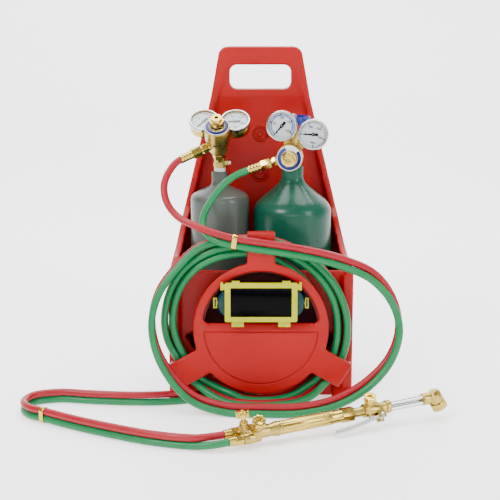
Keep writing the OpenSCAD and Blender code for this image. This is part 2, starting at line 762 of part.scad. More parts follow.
module torch_valve_block() {
  color("darkkhaki") difference() {
    union() {
      at_torch_inlets() translate([block_x, 0, 0]) along_x() cylinder(h = 16, r = 9);
      at_torch(torch_roll) {
        translate([30, -12, -9]) cube([24, 24, 18]);
        translate([44, 0, 0]) along_x() cylinder(h = 25, r = 10);
        translate([67, 0, 0]) along_x() cylinder(h = handle_x - 67, r1 = 8.5, r2 = 12);
      }
      for (side = [-1, 1])
        at_torch_knob(side) cylinder(h = 15, r = 8);
    }
    for (side = [-1, 1])
      at_torch_knob(side) translate([0, 0, 6]) cylinder(h = 20, r = 3.5 + fit);
  }
}

module torch_packing_nuts() {
  color("gold") {
    for (side = [-1, 1])
      at_torch_knob(side) translate([0, 0, 15]) difference() {
        union() {
          hexagon(13, 5);
          cylinder(h = 7.5, r = 5);
        }
        translate([0, 0, -1]) cylinder(h = 10, r = 3.5 + fit);
      }
    at_torch(cutting_roll) translate([cutting_knob_x, 0, 13]) difference() {
      hexagon(12, 4.5);
      translate([0, 0, -1]) cylinder(h = 10, r = 3 + fit);
    }
  }
}

// Lobed brass knob on its stem; the grip starts at height z0
module valve_knob(r, stem_r, stem_z, z0, h) difference() {
  union() {
    translate([0, 0, stem_z]) cylinder(h = z0 - stem_z + 1, r = stem_r);
    translate([0, 0, z0]) cylinder(h = h, r = r - 1.3);
    for (a = [0:45:315])
      rotate([0, 0, a]) translate([r - 2.4, 0, z0]) cylinder(h = h, r = 2.4);
  }
  translate([0, 0, z0 + h - 3]) cylinder(h = 5, r = 4.2);
}
module torch_oxygen_knob() {
  color("gold") at_torch_knob(-1) valve_knob(knob_r, 3.5, 7, 26, 11);
}
module torch_acetylene_knob() {
  color("gold") at_torch_knob(1) valve_knob(knob_r, 3.5, 7, 26, 11);
}

module torch_handle() {
  groove_r = 1.3;
  color("darkkhaki") at_torch(torch_roll) translate([handle_x, 0, 0]) along_x() difference() {
    cylinder(h = handle_end - handle_x, r = handle_r);
    for (a = [0:30:330])
      rotate([0, 0, a]) translate([handle_r + 0.4, 0, 4])
        cylinder(h = handle_end - handle_x - 8, r = groove_r, $fn = 16);
    translate([0, 0, -1]) cylinder(h = handle_end - handle_x + 2, r = handle_r - 4);
  }
}

module torch_coupling_nut() {
  color("gold") at_torch(cutting_roll) translate([handle_end, 0, 0]) along_x() {
    cylinder(h = 20, r = 10.3);
    cylinder(h = 3, r = 11.2);
    translate([0, 0, 20]) hexagon(21, coupling_end - handle_end - 20);
  }
}

module cutting_body() {
  color("darkkhaki") difference() {
    union() {
      at_torch(cutting_roll) {
        translate([coupling_end, 0, 0]) along_x() cylinder(h = 22, r = 7.5);
        translate([231, 0, 0]) along_x() cylinder(h = 25, r = 11);
        translate([cutting_knob_x, 0, 0]) cylinder(h = 13, r = 7);
        translate([pivot_x - 2, 0, 0]) along_x() cylinder(h = 18, r = 8.5);
        translate([pivot_x + 14, 0, 0]) along_x() cylinder(h = tube_x - pivot_x - 14, r = 10.5);
      }
      at_torch(lever_roll) {
        // Housing of the cutting valve and the fork that carries the lever
        translate([plunger_x, 0, -12]) cylinder(h = 12, r = 5.5);
        for (y = [-8.2, 5])
          translate([pivot_x - 6, y, -20]) cube([12, 3.2, 21.5]);
      }
    }
    at_torch(cutting_roll) {
      translate([cutting_knob_x, 0, 6]) cylinder(h = 10, r = 3 + fit);
      // Sockets of the three tubes
      for (a = [90, 210, 330])
        translate([tube_x - 3, 5.2 * cos(a), 5.2 * sin(a)]) along_x() cylinder(h = 8, r = 3.4);
    }
    at_torch(lever_roll) {
      translate([plunger_x, 0, -20]) cylinder(h = 18, r = 2.4 + fit);
      translate([pivot_x, -12, pivot_z]) rotate([-90, 0, 0]) cylinder(h = 24, r = 1.95);
    }
  }
}

module cutting_oxygen_knob() {
  color("gold") at_torch(cutting_roll) translate([cutting_knob_x, 0, 0]) valve_knob(9.5, 3, 7, 19, 10);
}

// Chromed strip that runs back under the handle and curls at its end, drawn about its pivot
module lever_strip() {
  thick = 2;
  top = concat([for (i = [0:9]) [-7 - i * 8, 2.6 - 3.6 * sin(i * 10)]],
    arc([-lever_reach + 1.5, -4], 3, 75, 215, 6));
  bottom = concat(arc([-lever_reach + 1.5, -4], 1.2, 215, 75, 6),
    [for (i = [9:-1:0]) [-7 - i * 8, 0.6 - 3.6 * sin(i * 10)]]);
  polygon(concat([[2, 3]], top, bottom, [[2, -2]]));
}
module at_lever() at_torch(lever_roll) translate([pivot_x, 0, pivot_z]) rotate([0, -lever_drop, 0]) children();
module cutting_lever() {
  lever_w = 9.6;
  grip_w = 13.5;
  color("silver") at_lever() rotate([90, 0, 0]) {
    translate([0, 0, -lever_w / 2]) linear_extrude(lever_w) difference() {
      union() {
        lever_strip();
        circle(3.2);
      }
      circle(1.95 + fit);
    }
    translate([0, 0, -grip_w / 2]) linear_extrude(grip_w) intersection() {
      lever_strip();
      translate([-lever_reach - 5, -20]) square([lever_reach - 15, 40]);
    }
  }
}

module lever_pin() {
  color("silver") at_torch(lever_roll) translate([pivot_x, -9.5, pivot_z]) rotate([-90, 0, 0]) {
    cylinder(h = 19, r = 1.95);
    translate([0, 0, -1]) cylinder(h = 1.9, r = 3);
  }
}

module lever_plunger() {
  color("silver") at_torch(lever_roll) translate([plunger_x, 0, -15.3]) cylinder(h = 6.7, r = 2.4);
}

module lever_spring() {
  color("silver") at_torch(lever_roll) translate([plunger_x, 0, -8.2]) coil_spring(1.8, 0.35, 5.6, 4);
}

module cutting_tubes() {
  color("silver") at_torch(cutting_roll)
    for (a = [90, 210, 330])
      translate([tube_x - 3, 5.2 * cos(a), 5.2 * sin(a)]) along_x() pipe(3.4, 2.2, tube_end - tube_x + 6);
}

// The head turns the gas down and a little forward, towards the work
module at_head() at_torch(0) translate([head_x, 0, 0]) rotate([0, -24, 0]) children();

module cutting_head() {
  color("darkkhaki") difference() {
    union() {
      at_torch(0) translate([tube_end - 4, 0, 0]) along_x() cylinder(h = 14, r = 9.8);
      at_head() translate([0, 0, -8]) cylinder(h = 15, r = 11.4);
      at_head() translate([0, 0, 6.9]) cylinder(h = 5, r1 = 11.4, r2 = 7);
    }
    at_torch(cutting_roll)
      for (a = [90, 210, 330])
        translate([tube_x, 5.2 * cos(a), 5.2 * sin(a)]) along_x() cylinder(h = tube_end - tube_x + 3, r = 3.4);
    at_head() translate([0, 0, -9]) cylinder(h = 10, r = 6.5);
  }
}

module tip_nut() {
  color("gold") at_head() translate([0, 0, -21]) difference() {
    union() {
      translate([0, 0, 1]) rotate([0, 0, 15]) hexagon(25, 11.8);
      cylinder(h = 2, r = 12);
    }
    translate([0, 0, -1]) cylinder(h = 20, r = 6.55);
  }
}

module cutting_tip() {
  color("peru") at_head() translate([0, 0, -24]) rotate_extrude() polygon([[1, 0], [4.4, 0],
    [5.4, 3], [6.5, 6], [6.5, 24.5], [1, 24.5]]);
}

// ---------------------------------------------------------------- goggles

// Places children with X to the right, Y up and Z towards the front, zero at the front face
module at_goggles() translate([0, goggle_y, goggle_z]) rotate([90, 0, 0]) children();

module goggle_cup() {
  depth = 44;
  color("teal") at_goggles() translate([0, strap_y, -10 - depth]) difference() {
    linear_extrude(depth) rounded_rect(cup_w, 50, 24);
    translate([0, 0, -1]) linear_extrude(depth - 2) rounded_rect(cup_w - 5, 45, 22);
    translate([0, 0, depth - 5]) linear_extrude(10) rounded_rect(lens_w + 4, 40, 2);
  }
}

module goggle_frame() {
  color("yellow") at_goggles() {
    difference() {
      translate([0, (hinge_y - lift_h / 2 + 2) / 2, -9.8]) linear_extrude(4.6)
        rounded_rect(lift_w - 4, hinge_y + lift_h / 2 - 2, 4);
      translate([0, 0, -8.4]) linear_extrude(8) rounded_rect(lens_w + 4, lens_h + 1, 2);
      translate([0, 0, -11]) linear_extrude(8) rounded_rect(lens_w, lens_h - 3, 2);
    }
    // Feet below the frame
    for (x = [-1, 1])
      translate([x * 38, -lift_h / 2 - 3.6, -7.4]) cube([20, 12, 4.6], center = true);
    // Hinge ears at the upper corners
    for (x = [-1, 1]) {
      translate([x * (lift_w / 2 + 1.2), hinge_y, hinge_z]) rotate([0, 90, 0])
        cylinder(h = 2.4, r = 3.3, center = true);
      translate([x * (lift_w / 2 - 0.4), hinge_y - 1.2, -8]) cube([5.6, 4.6, 3.4], center = true);
    }
    // Loops that hold the strap, riveted through the sides of the cup
    for (x = [-1, 1]) {
      translate([x * strap_x, strap_y, -19.5]) difference() {
        cube([6, 17, 5], center = true);
        cube([2.4, 14, 8], center = true);
      }
      translate([x * 70.6, strap_y, -19.5]) rotate([0, 90, 0]) cylinder(h = 4.8, r = 2.2, center = true);
    }
  }
}

module goggle_clear_lens() {
  color("lightcyan") at_goggles() translate([0, 0, -8.3]) linear_extrude(2)
    rounded_rect(lens_w + 3.6, lens_h + 0.6, 1.8);
}

module goggle_lift_frame() {
  color("yellow") at_goggles() difference() {
    union() {
      translate([0, 0, -4.9]) linear_extrude(4.9) rounded_rect(lift_w, lift_h, 3);
      // Bumps along the top edge
      for (x = [-1, 1])
        translate([x * 41, lift_h / 2, -2.6]) cube([13, 6, 4.4], center = true);
      // Hinge knobs and the arms that carry them
      for (x = [-1, 1]) {
        translate([x * (lift_w / 2 + 4.8), hinge_y, hinge_z]) rotate([0, 90, 0])
          cylinder(h = 4, r = 7, center = true);
        translate([x * (lift_w / 2 + 1.8), hinge_y, -1.2]) cube([8, 9, 2.4], center = true);
      }
    }
    translate([0, 0, -6]) linear_extrude(8) rounded_rect(lens_w, lens_h, 1.5);
    translate([0, 0, -3.4]) linear_extrude(2) rounded_rect(lens_w + 5, lens_h + 5, 1.5);
  }
}

module goggle_dark_lens() {
  color("black") at_goggles() translate([0, 0, -3.3]) linear_extrude(1.8)
    rounded_rect(lens_w + 4.8, lens_h + 4.8, 1.5);
}

// Elastic strap, folded behind the cup
module goggle_strap() {
  color("black") at_goggles() translate([0, strap_y, 0]) {
    for (x = [-1, 1])
      translate([x * strap_x, 0, -38.5]) cube([1.8, 13, 47], center = true);
    translate([0, 0, -61]) cube([2 * strap_x + 1.8, 13, 2], center = true);
  }
}

tote_shell();
storage_cup();
hose_retainer();
reel_screws();
cylinder_pads();
oxygen_cylinder();
oxygen_cylinder_valve();
oxygen_handwheel();
handwheel_nut();
regulator_bodies();
regulator_bonnets();
oxygen_adjusting_screw();
acetylene_cylinder();
acetylene_cylinder_valve();
acetylene_valve_spindle();
thread_tape();
acetylene_adjusting_screw();
regulator_labels();
regulator_springs();
regulator_diaphragms();
inlet_nuts();
outlet_bushings();
gauge_stems();
gauge_cases();
gauge_bezels();
gauge_dials();
gauge_lenses();
oxygen_supply_pointer();
oxygen_delivery_pointer();
acetylene_supply_pointer();
acetylene_delivery_pointer();
hose_nuts();
hose_ferrules();
oxygen_hose();
oxygen_hose_coil();
acetylene_hose();
acetylene_hose_coil();
hose_clips();
torch_valve_block();
torch_packing_nuts();
torch_oxygen_knob();
torch_acetylene_knob();
torch_handle();
torch_coupling_nut();
cutting_body();
cutting_oxygen_knob();
cutting_lever();
lever_pin();
lever_plunger();
lever_spring();
cutting_tubes();
cutting_head();
tip_nut();
cutting_tip();
goggle_cup();
goggle_frame();
goggle_clear_lens();
goggle_lift_frame();
goggle_dark_lens();
goggle_strap();
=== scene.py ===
"""Looks for the portable oxy-acetylene torch kit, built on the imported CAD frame."""
import math

import bmesh
import bpy
from mathutils import Matrix, Vector
from mathutils.geometry import interpolate_bezier


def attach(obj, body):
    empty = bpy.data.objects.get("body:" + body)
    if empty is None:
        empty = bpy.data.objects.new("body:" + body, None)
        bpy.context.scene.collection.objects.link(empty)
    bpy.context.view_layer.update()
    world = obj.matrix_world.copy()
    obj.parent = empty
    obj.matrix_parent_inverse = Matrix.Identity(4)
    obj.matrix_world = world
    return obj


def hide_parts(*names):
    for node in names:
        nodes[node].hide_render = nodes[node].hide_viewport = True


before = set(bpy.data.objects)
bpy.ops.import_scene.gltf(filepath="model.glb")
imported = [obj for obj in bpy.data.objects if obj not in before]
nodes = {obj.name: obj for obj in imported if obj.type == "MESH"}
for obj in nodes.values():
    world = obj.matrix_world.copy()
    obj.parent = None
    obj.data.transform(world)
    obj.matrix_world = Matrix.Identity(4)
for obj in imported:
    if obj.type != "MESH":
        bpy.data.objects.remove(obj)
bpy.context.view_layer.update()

MM = 0.001
# Vertical axes of the cylinders and the height of the reel's centre, in mm, as in the CAD
OXYGEN_AXIS = (54.6, 11)
ACETYLENE_AXIS = (-69.5, 11)
REEL_HEIGHT = 128


def add_object(name, data):
    """New object in the scene."""
    made = bpy.data.objects.new(name, data)
    bpy.context.scene.collection.objects.link(made)
    return made


def facing(place, aim):
    """Rotation that turns an object's -Z from place towards aim."""
    return (Vector(aim) - Vector(place)).to_track_quat("-Z", "Y").to_euler()


# ------------------------------------------------------------------ camera
TARGET = Vector((-0.018, 0, 0.235))
DISTANCE = 2.2
ELEVATION = math.radians(12)
camera_data = bpy.data.cameras.new("camera")
camera_data.sensor_width = 36
camera_data.lens = 92.1
camera = add_object("camera", camera_data)
camera.location = TARGET + DISTANCE * Vector((0, -math.cos(ELEVATION), math.sin(ELEVATION)))
camera.rotation_euler = facing(camera.location, TARGET)
bpy.context.scene.camera = camera

# ------------------------------------------------------------------ materials
# Sockets of the mix node that carry its factor and its colours
MIX_FACTOR, MIX_FIRST, MIX_SECOND, MIX_RESULT = 0, 6, 7, 2


class Nodes:
    """A material's node tree with short calls to add and join nodes."""

    def __init__(self, name):
        self.material = bpy.data.materials.new(name)
        self.material.use_nodes = True
        self.tree = self.material.node_tree
        self.shader = self.tree.nodes["Principled BSDF"]
        self.coords = self.add("ShaderNodeTexCoord").outputs["Object"]

    def add(self, kind, **values):
        """New node; each value sets an attribute, or else the input of that name."""
        node = self.tree.nodes.new(kind)
        for key, value in values.items():
            if hasattr(node, key):
                setattr(node, key, value)
            else:
                node.inputs[key.replace("_", " ")].default_value = value
        return node

    def join(self, source, target):
        self.tree.links.new(source, target)

    def feed(self, socket, value):
        """Joins the socket to another, or gives it a plain value."""
        if isinstance(value, bpy.types.NodeSocket):
            self.join(value, socket)
        else:
            socket.default_value = value

    def set(self, **values):
        for key, value in values.items():
            self.shader.inputs[key.replace("_", " ")].default_value = value

    def noise(self, scale, detail=3.0, rough=0.5, stretch=None):
        node = self.add("ShaderNodeTexNoise", Scale=scale, Detail=detail, Roughness=rough)
        source = self.coords
        if stretch:
            mapping = self.add("ShaderNodeMapping", Scale=stretch)
            self.join(self.coords, mapping.inputs["Vector"])
            source = mapping.outputs["Vector"]
        self.join(source, node.inputs["Vector"])
        return node.outputs["Fac"]

    def ramp(self, source, *stops):
        """Colours by the source's value, from (value, colour) stops."""
        node = self.add("ShaderNodeValToRGB")
        elements = node.color_ramp.elements
        while len(elements) < len(stops):
            elements.new(0.5)
        for element, (place, colour) in zip(elements, stops):
            element.position = place
            element.color = (*colour, 1)
        self.join(source, node.inputs["Fac"])
        return node.outputs["Color"]

    def spread(self, source, low, high, start=0.3, end=0.7):
        """Maps the source from start..end to low..high."""
        node = self.add("ShaderNodeMapRange")
        for key, value in (("From Min", start), ("From Max", end),
                           ("To Min", low), ("To Max", high)):
            node.inputs[key].default_value = value
        self.join(source, node.inputs["Value"])
        return node.outputs["Result"]

    def mix(self, factor, first, second):
        """Mixes first, a socket, with second, a colour."""
        node = self.add("ShaderNodeMix", data_type="RGBA")
        self.feed(node.inputs[MIX_FACTOR], factor)
        self.feed(node.inputs[MIX_FIRST], first)
        self.feed(node.inputs[MIX_SECOND], (*second, 1))
        return node.outputs[MIX_RESULT]

    def bump(self, source, distance, strength=1.0, after=None):
        node = self.add("ShaderNodeBump", Strength=strength, Distance=distance)
        self.join(source, node.inputs["Height"])
        if after:
            self.join(after, node.inputs["Normal"])
        return node.outputs["Normal"]

    def calc(self, operation, one, two=0.0):
        node = self.add("ShaderNodeMath", operation=operation)
        self.feed(node.inputs[0], one)
        self.feed(node.inputs[1], two)
        return node.outputs[0]

    def apart(self, source):
        """X, Y and Z of a vector."""
        node = self.add("ShaderNodeSeparateXYZ")
        self.join(source, node.inputs[0])
        return node.outputs

    def radius_about(self, height):
        """Distance from the axis along Y at x 0 and this height, and the offsets from it."""
        flat = self.add("ShaderNodeMapping", Location=(0, 0, -height), Scale=(1, 0, 1))
        self.join(self.coords, flat.inputs["Vector"])
        length = self.add("ShaderNodeVectorMath", operation="LENGTH")
        self.join(flat.outputs[0], length.inputs[0])
        return length.outputs["Value"], self.apart(flat.outputs[0])

    def colour(self, source):
        self.join(source, self.shader.inputs["Base Color"])

    def rough(self, source):
        self.join(source, self.shader.inputs["Roughness"])

    def normal(self, source):
        self.join(source, self.shader.inputs["Normal"])


def shade(colour, k):
    """The colour k times as bright."""
    return tuple(min(1, c * k) for c in colour)


def pocket_groove(n):
    """0 in the line pressed round the lower half of the reel's front, 1 away from it."""
    arc_radius, top = 0.0935, -0.0045
    radius, offsets = n.radius_about(REEL_HEIGHT * MM)
    outside = n.calc("SUBTRACT", radius, arc_radius)
    above = n.calc("SUBTRACT", offsets["Z"], top)
    arc = n.calc("MAXIMUM", n.calc("ABSOLUTE", outside), above)
    line = n.calc("MAXIMUM", n.calc("ABSOLUTE", above), outside)
    return n.spread(n.calc("MINIMUM", arc, line), 0, 1, start=0.0002, end=0.0016)


def panel_rings(n):
    """0 in the two sets of rings pressed in the back panel's front, 1 away from them."""
    heights, radii, panel_front = (0.425, 0.358), (0.013, 0.0095, 0.005), 0.088
    near = None
    for height in heights:
        radius, _ = n.radius_about(height)
        for ring in radii:
            distance = n.calc("ABSOLUTE", n.calc("SUBTRACT", radius, ring))
            near = n.calc("MINIMUM", near, distance) if near else distance
    behind = n.calc("SUBTRACT", n.apart(n.coords)["Y"], panel_front)
    return n.spread(n.calc("MAXIMUM", near, behind), 0, 1, start=0.0001, end=0.0012)


def plastic(name, colour, rough=0.42, grain=900, grain_depth=0.00008, coat=0.0, shine=0.25,
            pressed=None):
    """Moulded plastic: fine grain, slow waviness, faint scuffs and any pressed pattern."""
    n = Nodes(name)
    cloud = n.noise(9, 3)
    scuffs = n.noise(60, 6, 0.7, stretch=(1, 1, 5))
    clean = n.ramp(cloud, (0.3, shade(colour, 0.86)), (0.7, colour))
    n.colour(n.mix(n.spread(scuffs, 0, 0.35, start=0.62, end=0.75), clean, shade(colour, 1.25)))
    n.rough(n.spread(scuffs, rough - 0.06, rough + 0.12))
    wave = n.bump(cloud, 0.0012, 0.25)
    skin = n.bump(n.noise(grain, 2), grain_depth, 0.5, after=wave)
    n.normal(n.bump(pressed(n), 0.0016, after=skin) if pressed else skin)
    n.set(Coat_Weight=coat, Coat_Roughness=0.15, Specular_IOR_Level=shine)
    return n.material


def enamel(name, colour, rough, coat, peel=260):
    """Sprayed enamel with orange peel and small rubbed marks."""
    n = Nodes(name)
    rubs = n.noise(35, 8, 0.75, stretch=(1, 1, 0.25))
    sprayed = n.ramp(n.noise(6, 2), (0.3, shade(colour, 0.88)), (0.7, colour))
    n.colour(n.mix(n.spread(rubs, 0, 0.5, start=0.66, end=0.8), sprayed, shade(colour, 1.5)))
    n.rough(n.spread(n.noise(22, 5), rough - 0.04, rough + 0.12))
    n.normal(n.bump(n.noise(peel, 2), 0.00006, 0.5))
    n.set(Coat_Weight=coat, Coat_Roughness=0.12, Specular_IOR_Level=0.25)
    return n.material


def metal(name, colour, rough, streak=(1, 1, 1), streak_scale=400, tarnish=0.8, depth=0.00003,
          mottled=0.0):
    """Turned or cast metal: tool marks, tarnish in patches and mottled gloss."""
    n = Nodes(name)
    patches = n.noise(70, 5, 0.6)
    marks = n.noise(streak_scale, 3, 0.6, stretch=streak)
    n.colour(n.ramp(patches, (0.25, shade(colour, tarnish)), (0.6, colour),
                    (0.85, shade(colour, 1.08))))
    n.rough(n.spread(patches, rough * 0.95, rough * 1.8))
    grain = n.bump(marks, depth, 0.6)
    n.normal(n.bump(n.noise(140, 4), 0.0001, mottled, after=grain) if mottled else grain)
    n.set(Metallic=1.0, Specular_IOR_Level=0.5)
    return n.material


def rubber(name, colour, rough=0.36):
    """Smooth extruded hose cover with a fine bloom and dusty specks."""
    n = Nodes(name)
    specks = n.noise(260, 6, 0.7)
    bloom = n.ramp(n.noise(25, 3), (0.3, shade(colour, 0.85)), (0.7, colour))
    n.colour(n.mix(n.spread(specks, 0, 0.3, start=0.64, end=0.72), bloom, shade(colour, 1.4)))
    n.rough(n.spread(n.noise(50, 4), rough - 0.05, rough + 0.12))
    wave = n.bump(n.noise(40, 2), 0.0003, 0.2)
    n.normal(n.bump(n.noise(1400, 2), 0.00005, 0.5, after=wave))
    n.set(Specular_IOR_Level=0.35)
    return n.material


def clear_plastic(name, tint, weight):
    """Thin clear window: mostly see-through with a sharp reflection and faint dust."""
    n = Nodes(name)
    clear = n.add("ShaderNodeBsdfTransparent", Color=(*tint, 1))
    shine = n.add("ShaderNodeBsdfGlossy", Roughness=0.03)
    dust = n.spread(n.noise(300, 5, 0.7), 0.0, 0.05, start=0.6, end=0.8)
    fresnel = n.add("ShaderNodeFresnel", IOR=1.45)
    reflected = n.calc("ADD", n.calc("MULTIPLY", fresnel.outputs[0], weight), dust)
    blend = n.add("ShaderNodeMixShader")
    for socket, source in zip(blend.inputs, (reflected, clear.outputs[0], shine.outputs[0])):
        n.join(source, socket)
    n.join(blend.outputs[0], n.tree.nodes["Material Output"].inputs["Surface"])
    return n.material


def vinyl(name, colour):
    """Soft translucent vinyl with a slightly uneven surface."""
    n = Nodes(name)
    cloud = n.noise(30, 3)
    n.colour(n.ramp(cloud, (0.3, shade(colour, 0.7)), (0.7, colour)))
    n.rough(n.spread(cloud, 0.14, 0.26))
    n.normal(n.bump(cloud, 0.0006, 0.4))
    n.set(IOR=1.35, Specular_IOR_Level=0.3, Coat_Weight=0.08, Coat_Roughness=0.1)
    return n.material


def elastic(name):
    """Black woven elastic: ribs along the band crossed by fine threads."""
    n = Nodes(name)
    ribs = n.add("ShaderNodeTexWave", Scale=420, Distortion=0.4, bands_direction="Z")
    threads = n.add("ShaderNodeTexWave", Scale=700, Distortion=0.6, bands_direction="Y")
    for wave in (ribs, threads):
        n.join(n.coords, wave.inputs["Vector"])
    n.colour(n.ramp(ribs.outputs["Fac"], (0.2, (0.006, 0.006, 0.006)), (0.8, (0.03, 0.03, 0.032))))
    weave = n.bump(threads.outputs["Fac"], 0.0001, 0.5)
    n.normal(n.bump(ribs.outputs["Fac"], 0.0003, 0.8, after=weave))
    n.set(Roughness=0.85, Sheen_Weight=0.2)
    return n.material


def tape(name):
    """Thin white tape: overlapping edges round the neck."""
    n = Nodes(name)
    wraps = n.add("ShaderNodeTexWave", Scale=260, Distortion=3, Detail=2, bands_direction="Z")
    n.join(n.coords, wraps.inputs["Vector"])
    n.colour(n.ramp(wraps.outputs["Fac"], (0.1, (0.72, 0.72, 0.70)), (0.6, (0.9, 0.9, 0.88))))
    n.normal(n.bump(wraps.outputs["Fac"], 0.0003, 0.7))
    n.set(Roughness=0.55, Subsurface_Weight=0.1)
    return n.material


def arc_label(name):
    """Printed blue that deepens round the piece's own Z axis."""
    n = Nodes(name)
    quarter_turn = n.add("ShaderNodeMapping", Rotation=(0, 0, math.radians(90)))
    n.join(n.coords, quarter_turn.inputs["Vector"])
    radial = n.add("ShaderNodeTexGradient", gradient_type="RADIAL")
    n.join(quarter_turn.outputs["Vector"], radial.inputs["Vector"])
    n.colour(n.ramp(radial.outputs["Fac"], (0.1, (0.05, 0.06, 0.24)), (0.4, (0.012, 0.02, 0.15)),
                    (0.7, (0.003, 0.006, 0.07)), (0.95, (0.003, 0.008, 0.09))))
    n.rough(n.spread(n.noise(300, 3), 0.3, 0.42))
    n.set(Specular_IOR_Level=0.2)
    return n.material


RED = (0.34, 0.0, 0.0)
PRINT = {"grain": 2500, "grain_depth": 0.00001}

red_plastic = plastic("red_plastic", RED, pressed=panel_rings)
grooved_red = plastic("grooved_red", RED, pressed=pocket_groove)
# Red plastic of the reel's cup, darkened far below the tote's red to paint the shade inside the
# pocket
painted_shade_red_plastic = plastic("painted_shade_red_plastic", (0.07, 0.001, 0.001), 0.5)
yellow_plastic = plastic("yellow_plastic", (0.42, 0.41, 0.0), 0.35, 1500, 0.00003)
black_lens = plastic("black_lens", (0.001, 0.001, 0.0013), 0.12, 3000, 0.000004, shine=0.04)
white_dial = plastic("white_dial", (0.56, 0.57, 0.60), 0.5, shine=0.1, **PRINT)
dial_ink = plastic("dial_ink", (0.003, 0.003, 0.004), 0.6, shine=0.03, **PRINT)
red_ink = plastic("red_ink", (0.6, 0.02, 0.02), 0.5, **PRINT)
blue_ink = plastic("blue_ink", (0.02, 0.10, 0.55), 0.5, **PRINT)
label_paper = plastic("label_paper", (0.80, 0.81, 0.84), 0.32, 2200, 0.00002, coat=0.3)
label_arc = arc_label("label_arc")

green_enamel = enamel("green_enamel", (0.0, 0.065, 0.036), 0.3, 0.15)
grey_enamel = enamel("grey_enamel", (0.07, 0.085, 0.072), 0.32, 0.2)
blue_enamel = enamel("blue_enamel", (0.001, 0.018, 0.22), 0.3, 0.3, peel=420)

cast_brass = metal("cast_brass", (0.47, 0.34, 0.085), 0.22, streak_scale=700, depth=0.00005,
                   mottled=0.35)
turned_brass = metal("turned_brass", (0.56, 0.40, 0.085), 0.15, (1, 1, 6), 500, 0.78)
bright_brass = metal("bright_brass", (0.68, 0.48, 0.08), 0.12, (5, 1, 1), 600, 0.85)
copper = metal("copper", (0.62, 0.33, 0.18), 0.22)
chrome = metal("chrome", (0.50, 0.50, 0.51), 0.06, (4, 1, 1), 500, 0.93, depth=0.00001)
steel = metal("zinc_steel", (0.60, 0.60, 0.59), 0.25, (1, 1, 8), 600, 0.85)

green_rubber = rubber("green_rubber", (0.0, 0.16, 0.045))
red_rubber = rubber("red_rubber", (0.30, 0.0, 0.010))
black_rubber = rubber("black_rubber", (0.012, 0.012, 0.012), 0.55)
gauge_glass = clear_plastic("gauge_glass", (0.98, 0.99, 0.99), 0.07)
clear_lens = clear_plastic("clear_lens", (0.93, 0.96, 0.95), 0.08)
teal_vinyl = vinyl("teal_vinyl", (0.0, 0.036, 0.040))
black_elastic = elastic("black_elastic")
white_tape = tape("white_tape")


# ------------------------------------------------------------------ building helpers
def link(name, data, material, body, stands_for=(), matrix=None):
    """Makes the object, gives it its material and body, and hides the nodes it stands for."""
    piece = add_object(name, data)
    if matrix:
        piece.matrix_world = matrix
    data.materials.clear()
    data.materials.append(material)
    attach(piece, body)
    if stands_for:
        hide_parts(*stands_for)
    return piece


def mesh_of(points, faces, name):
    """Smooth mesh with its faces turned outwards."""
    mesh = bpy.data.meshes.new(name)
    mesh.from_pydata([Vector(p) for p in points], [], faces)
    bm = bmesh.new()
    bm.from_mesh(mesh)
    bmesh.ops.recalc_face_normals(bm, faces=bm.faces)
    bm.to_mesh(mesh)
    bm.free()
    mesh.shade_smooth()
    return mesh


def loft(rings, name, cap=True):
    """Mesh through closed rings with equal numbers of points."""
    count = len(rings[0])
    points = [p for ring in rings for p in ring]
    last = len(points) - count
    faces = []
    for first in range(0, last, count):
        for j in range(count):
            k = (j + 1) % count
            faces.append((first + j, first + k, first + count + k, first + count + j))
    if cap:
        faces.append(tuple(reversed(range(count))))
        faces.append(tuple(range(last, len(points))))
    return mesh_of(points, faces, name)


def lathe(profile, centre, name, segments=128):
    """Surface of revolution about a vertical axis; profile holds (radius, height) in mm."""
    angles = [2 * math.pi * k / segments for k in range(segments)]
    return loft([[Vector((centre[0] + radius * math.cos(a), centre[1] + radius * math.sin(a),
                          height)) * MM for a in angles] for radius, height in profile], name)


def rounded(profile, steps=5, share=0.49):
    """Rounds corners given as (x, y, radius); each takes at most its share of an edge."""
    made = []
    for i, (x, y, radius) in enumerate(profile):
        here = Vector((x, y))
        if radius == 0 or i in (0, len(profile) - 1):
            made.append((x, y))
            continue
        before = Vector(profile[i - 1][:2]) - here
        after = Vector(profile[i + 1][:2]) - here
        start = here + before.normalized() * min(radius, before.length * share)
        end = here + after.normalized() * min(radius, after.length * share)
        for k in range(steps + 1):
            t = k / steps
            point = start * (1 - t) ** 2 + here * 2 * t * (1 - t) + end * t ** 2
            made.append((point.x, point.y))
    return made


def flowing(points, steps=5):
    """Smooth profile through the given (radius, height) points."""
    made = []
    last = len(points) - 1
    for i in range(last):
        a, b, c, d = (Vector(points[min(max(k, 0), last)]) for k in (i - 1, i, i + 1, i + 2))
        for k in range(steps):
            t = k / steps
            made.append(tuple(0.5 * (2 * b + (c - a) * t + (2 * a - 5 * b + 4 * c - d) * t * t
                                     + (3 * b - a - 3 * c + d) * t ** 3)))
    return made + [points[-1]]


def dress(name, material, bevel, segments):
    """Gives a CAD node its material and small rounded edges."""
    node = nodes[name]
    node.data.materials.clear()
    node.data.materials.append(material)
    weld = node.modifiers.new("weld", "WELD")
    weld.merge_threshold = 0.02 * MM
    if bevel:
        edges = node.modifiers.new("edges", "BEVEL")
        edges.width = bevel * MM
        edges.segments = segments
        edges.limit_method = "ANGLE"
        edges.angle_limit = math.radians(32)
        edges.harden_normals = True
        edges.use_clamp_overlap = True
    node.data.shade_smooth()
    split = node.modifiers.new("split", "EDGE_SPLIT")
    split.split_angle = math.radians(40)


